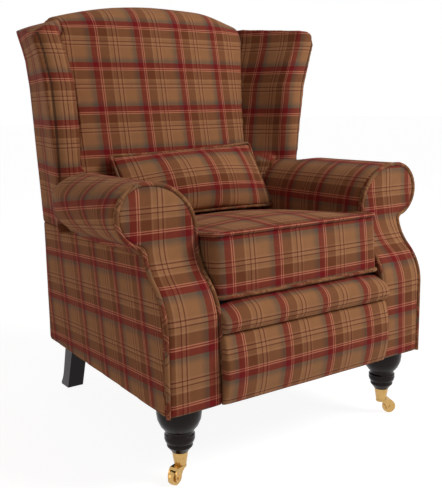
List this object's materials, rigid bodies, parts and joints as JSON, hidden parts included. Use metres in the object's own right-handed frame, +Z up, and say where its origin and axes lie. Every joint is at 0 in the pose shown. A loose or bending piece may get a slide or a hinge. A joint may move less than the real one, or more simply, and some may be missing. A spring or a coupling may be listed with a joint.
{
  "type": "fireside chair",
  "caption": "Wing-backed fireside armchair in a woven check, with scroll arms, loose seat and lumbar cushions, turned front legs on brass castors and raked rear legs.",
  "frame": {"origin": "on the floor, under the middle of the chair's overall width and depth", "axes": "+Z up, the chair faces -Y, +X is the right-hand side as seen from in front"},
  "size_m": [0.8184, 0.7701, 1.008],
  "materials": {
    "tartan_wool": "woven wool check in tan, brown, crimson and slate with pale overlines",
    "tartan_piping": "piping cord covered in the same woven check",
    "beech": "plain sawn beech",
    "dark_wood": "near-black brown stain under gloss lacquer",
    "brass": "polished brass",
    "steel": "plain zinc-plated steel",
    "lining": "black woven lining cloth",
    "webbing": "plain jute webbing"
  },
  "bodies": {
    "chair": {"front_border": "tartan_wool", "front_lip": "tartan_wool", "left_arm_facing": "tartan_wool", "right_arm_facing": "tartan_wool", "left_outside_arm": "tartan_wool", "right_outside_arm": "tartan_wool", "outside_back": "tartan_wool", "left_arm_pad": "tartan_wool", "right_arm_pad": "tartan_wool", "inside_back": "tartan_wool", "left_wing_pad": "tartan_wool", "right_wing_pad": "tartan_wool", "left_arm_facing_piping": "tartan_piping", "right_arm_facing_piping": "tartan_piping", "front_seat_rail": "beech", "rear_seat_rail": "beech", "left_seat_rail": "beech", "right_seat_rail": "beech", "left_corner_block": "beech", "right_corner_block": "beech", "back_top_rail": "beech", "back_cross_rail": "beech", "left_wing_frame": "beech", "right_wing_frame": "beech", "left_arm_front_board": "beech", "right_arm_front_board": "beech", "left_arm_rail": "beech", "right_arm_rail": "beech", "left_back_upright": "dark_wood", "right_back_upright": "dark_wood", "left_front_leg": "dark_wood", "right_front_leg": "dark_wood", "left_castor_cup": "brass", "right_castor_cup": "brass", "seat_springs": "steel", "spring_clips": "steel", "front_leg_bolts": "steel", "front_leg_tee_nuts": "steel", "dust_cover": "lining", "seat_deck": "lining", "back_webbing": "webbing"},
    "seat_cushion": {"seat_cushion": "tartan_wool", "seat_cushion_piping": "tartan_piping"},
    "lumbar_cushion": {"lumbar_cushion": "tartan_wool", "lumbar_cushion_piping": "tartan_piping"},
    "left_castor_fork": {"left_castor_horn": "brass", "left_castor_axle": "brass"},
    "right_castor_fork": {"right_castor_horn": "brass", "right_castor_axle": "brass"},
    "left_castor_wheel": {"left_castor_wheel": "brass"},
    "right_castor_wheel": {"right_castor_wheel": "brass"}
  },
  "joints": [
    {"name": "left_castor_swivel", "type": "hinge", "parent": "chair", "child": "left_castor_fork", "pos_m": [-0.291, -0.302, 0.037], "axis": [0, 0, 1], "continuous": true},
    {"name": "right_castor_swivel", "type": "hinge", "parent": "chair", "child": "right_castor_fork", "pos_m": [0.291, -0.302, 0.037], "axis": [0, 0, 1], "continuous": true},
    {"name": "left_castor_roll", "type": "hinge", "parent": "left_castor_fork", "child": "left_castor_wheel", "pos_m": [-0.30987, -0.31001, 0.016], "axis": [0.3907, -0.9205, 0], "continuous": true},
    {"name": "right_castor_roll", "type": "hinge", "parent": "right_castor_fork", "child": "right_castor_wheel", "pos_m": [0.30987, -0.31001, 0.016], "axis": [0.3907, 0.9205, 0], "continuous": true},
    {"name": "seat_cushion_lift", "type": "slide", "parent": "chair", "child": "seat_cushion", "axis": [0, 0, 1], "range_m": [0, 0.3]},
    {"name": "lumbar_cushion_lift", "type": "slide", "parent": "seat_cushion", "child": "lumbar_cushion", "axis": [0, 0, 1], "range_m": [0, 0.3]}
  ]
}
